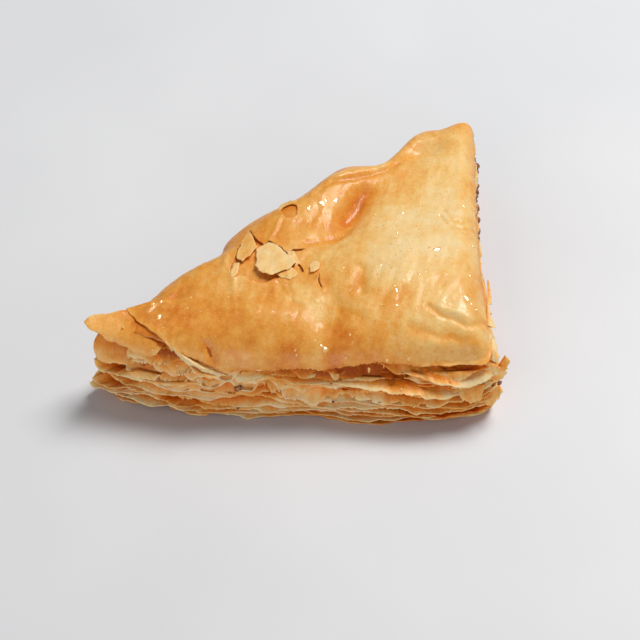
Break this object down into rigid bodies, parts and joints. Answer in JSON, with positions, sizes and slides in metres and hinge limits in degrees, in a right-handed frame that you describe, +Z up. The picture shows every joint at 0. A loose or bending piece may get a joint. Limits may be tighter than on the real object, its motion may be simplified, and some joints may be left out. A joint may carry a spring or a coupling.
{
  "type": "baklava piece",
  "caption": "Triangular piece of baklava with a puffed glossy crust, flaky layered cut sides and a thin nut filling.",
  "frame": {"origin": "middle of the bounding box of the underside, on the surface that the piece rests on", "axes": "+X along the front cut from the pointed tip to the square corner, +Y from the front cut to the back, +Z up"},
  "size_m": [0.0882, 0.0742, 0.026],
  "materials": {
    "layered_pastry": "thin baked phyllo sheets soaked in syrup, pale tan edges with amber gaps",
    "nut_filling": "chopped nuts bound with syrup, dark reddish brown",
    "baked_crust": "golden baked crust with a thin syrup gloss"
  },
  "bodies": {
    "root": {"lower_pastry": "layered_pastry", "nut_filling": "nut_filling", "upper_pastry": "baked_crust"}
  },
  "joints": []
}
